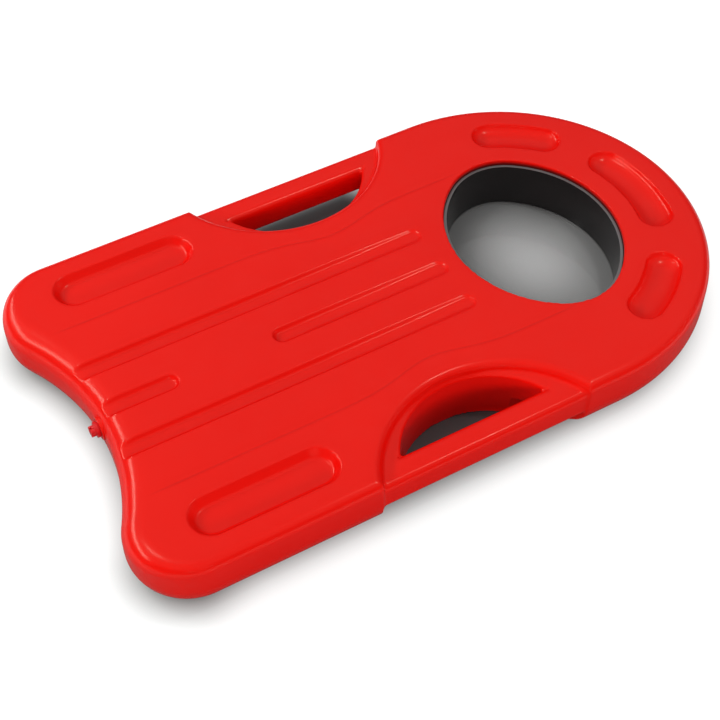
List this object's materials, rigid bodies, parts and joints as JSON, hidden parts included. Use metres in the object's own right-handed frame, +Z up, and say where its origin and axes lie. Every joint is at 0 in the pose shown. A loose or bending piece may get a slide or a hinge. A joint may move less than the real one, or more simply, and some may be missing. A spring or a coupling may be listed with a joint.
{
  "type": "rescue viewing board",
  "caption": "Hollow moulded float board with a swallow tail, side hand holes with grips, deck recesses, a sleeved oval viewing well with a clear pane, and a screwed drain plug.",
  "frame": {"origin": "under the middle of the board, on the surface that it lies on", "axes": "+X towards the nose, +Y towards the board's left side, +Z up through the deck"},
  "size_m": [0.702, 0.409, 0.066],
  "materials": {
    "hull": "satin",
    "sleeve": "gloss",
    "pane": "gloss",
    "rubber": "matte",
    "ring": "satin",
    "screws": "satin",
    "brass": "satin",
    "plug": "satin"
  },
  "bodies": {
    "board": {"hull_shell": "hull", "window_sleeve": "sleeve", "window_pane": "pane", "flange_gasket": "rubber", "pane_gasket": "rubber", "clamp_ring": "ring", "clamp_screws": "screws", "screw_inserts": "brass", "plug_bush": "plug"},
    "plug_seal": {"plug_seal_ring": "rubber"},
    "plug": {"drain_plug": "plug"}
  },
  "joints": [
    {"name": "plug_withdraw", "type": "slide", "parent": "board", "child": "plug_seal", "axis": [-1, 0, 0], "range_m": [0, 0.015]},
    {"name": "plug_turn", "type": "hinge", "parent": "plug_seal", "child": "plug", "pos_m": [-0.316, 0, 0.042], "axis": [-1, 0, 0], "range_deg": [0, 1800]}
  ],
  "couplings": [
    {"joint": "plug_turn", "follows": "plug_withdraw", "rad_per_m": 2094.4}
  ]
}
